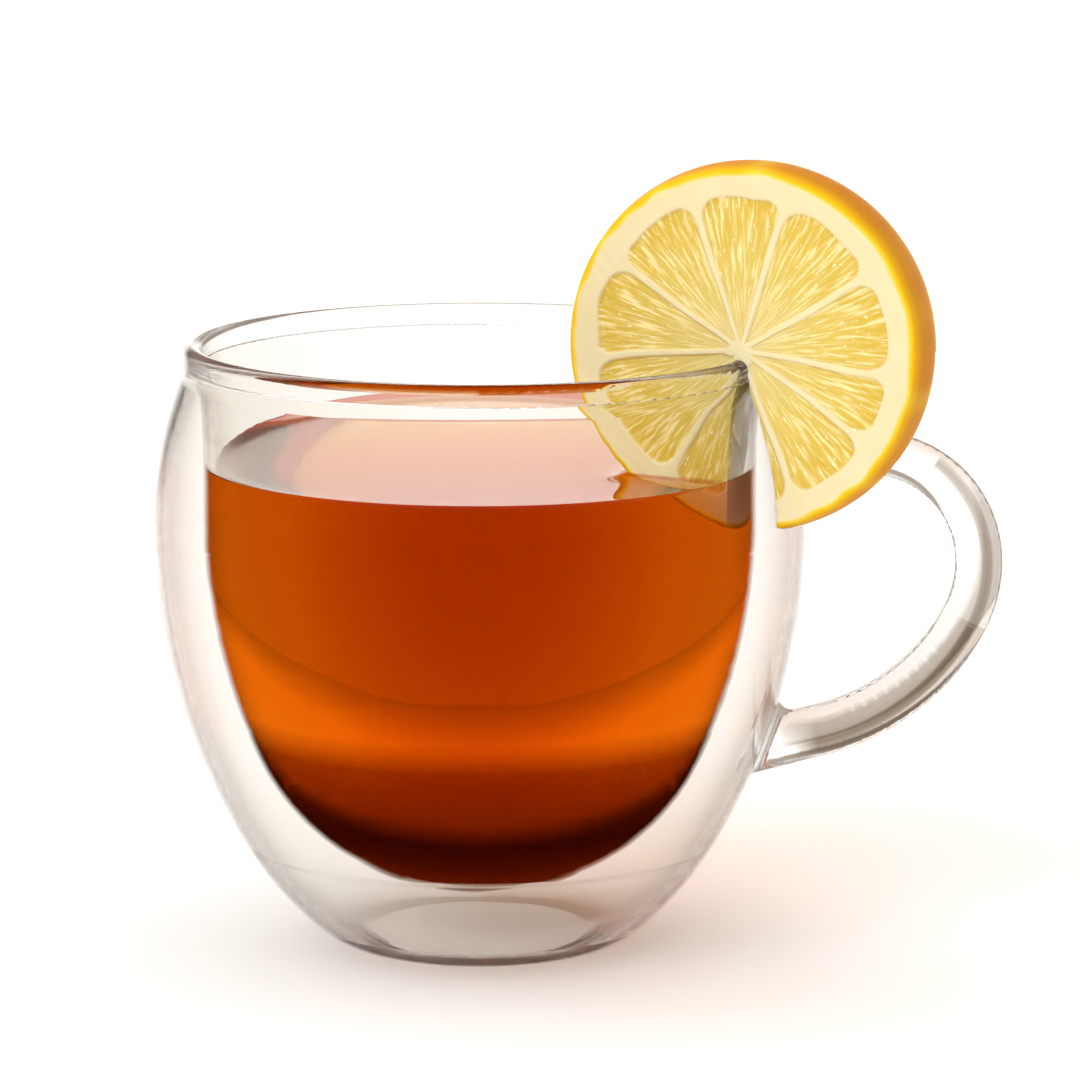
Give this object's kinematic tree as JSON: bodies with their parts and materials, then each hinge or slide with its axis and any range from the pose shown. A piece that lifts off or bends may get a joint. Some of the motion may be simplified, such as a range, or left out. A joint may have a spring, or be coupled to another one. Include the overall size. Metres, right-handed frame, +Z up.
{
  "type": "double-walled glass cup of black tea with a lemon slice",
  "caption": "Double-walled glass cup with a looped glass rod handle, filled with black tea, and a round lemon slice hung over its lip by a slit.",
  "frame": {"origin": "centre of the cup's flat base, on the surface that it stands on", "axes": "+Z up along the cup's axis; +X from the axis towards the handle; the lemon slice hangs on the lip about 20 degrees from the handle towards -Y"},
  "size_m": [0.1174, 0.09, 0.1114],
  "materials": {
    "clear_glass": "clear, smooth and glossy blown glass",
    "black_tea": "clear orange-brown liquid with a still, glossy surface",
    "lemon": "moist yellow flesh with pale pith under glossy, finely pitted yellow peel"
  },
  "bodies": {
    "root": {"glass_cup": "clear_glass", "tea": "black_tea", "lemon_slice": "lemon"}
  },
  "joints": []
}
